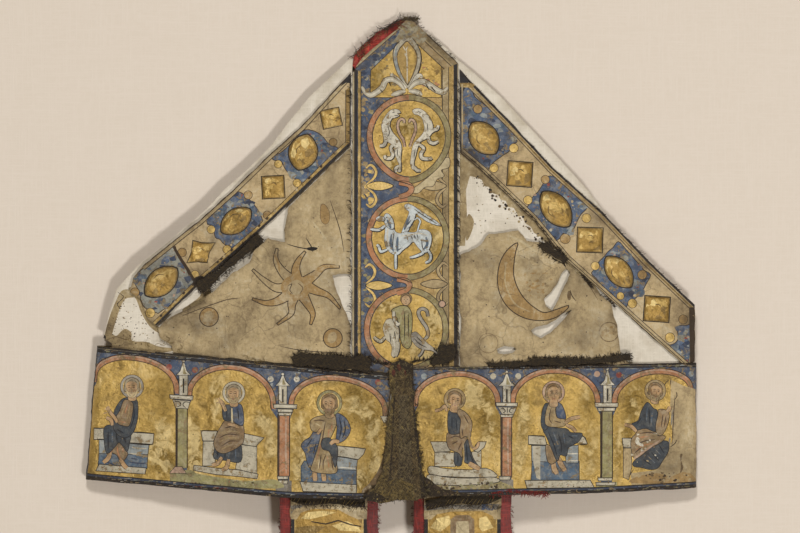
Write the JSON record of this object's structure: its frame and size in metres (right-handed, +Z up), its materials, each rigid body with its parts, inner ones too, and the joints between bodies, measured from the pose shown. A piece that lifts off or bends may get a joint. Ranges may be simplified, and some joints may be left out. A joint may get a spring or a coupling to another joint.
{
  "type": "bishop mitre",
  "caption": "Flattened painted parchment mitre lying on its front horn, with gilt titulus, slope bands and arcaded head band, silk lining and lappets.",
  "frame": {"origin": "middle of the base of the bounding box, on the surface that the front horn lies on", "axes": "+Y from the ends of the lappets to the tip of the horns, +Z up from the front horn to the back horn, +X to the right seen from the back"},
  "size_m": [0.295, 0.563, 0.028],
  "materials": {
    "painted_parchment": "painted and gilt parchment, worn",
    "bare_parchment": "aged tan parchment, stained",
    "white_support": "matt white cloth",
    "red_silk": "faded red silk, frayed",
    "dark_felt": "dark matted felt and braid"
  },
  "bodies": {
    "root": {"circulus": "painted_parchment", "titulus_back": "painted_parchment", "titulus_front": "painted_parchment", "slope_back_left": "painted_parchment", "slope_back_right": "painted_parchment", "slope_front_left": "painted_parchment", "slope_front_right": "painted_parchment", "field_back_left": "bare_parchment", "field_back_right": "bare_parchment", "field_front_left": "bare_parchment", "field_front_right": "bare_parchment", "support_back": "white_support", "support_front": "white_support", "silk_lining": "red_silk", "silk_web": "red_silk", "seam_felt": "dark_felt", "braid_band_left": "dark_felt", "braid_band_right": "dark_felt", "braid_titulus": "dark_felt", "braid_slope_left": "dark_felt", "braid_slope_right": "dark_felt", "lappet_left_silk": "red_silk", "lappet_right_silk": "red_silk", "lappet_left_face": "bare_parchment", "lappet_right_face": "bare_parchment", "lappet_left_head": "dark_felt", "lappet_right_head": "dark_felt", "apex_knot": "dark_felt"}
  },
  "joints": []
}
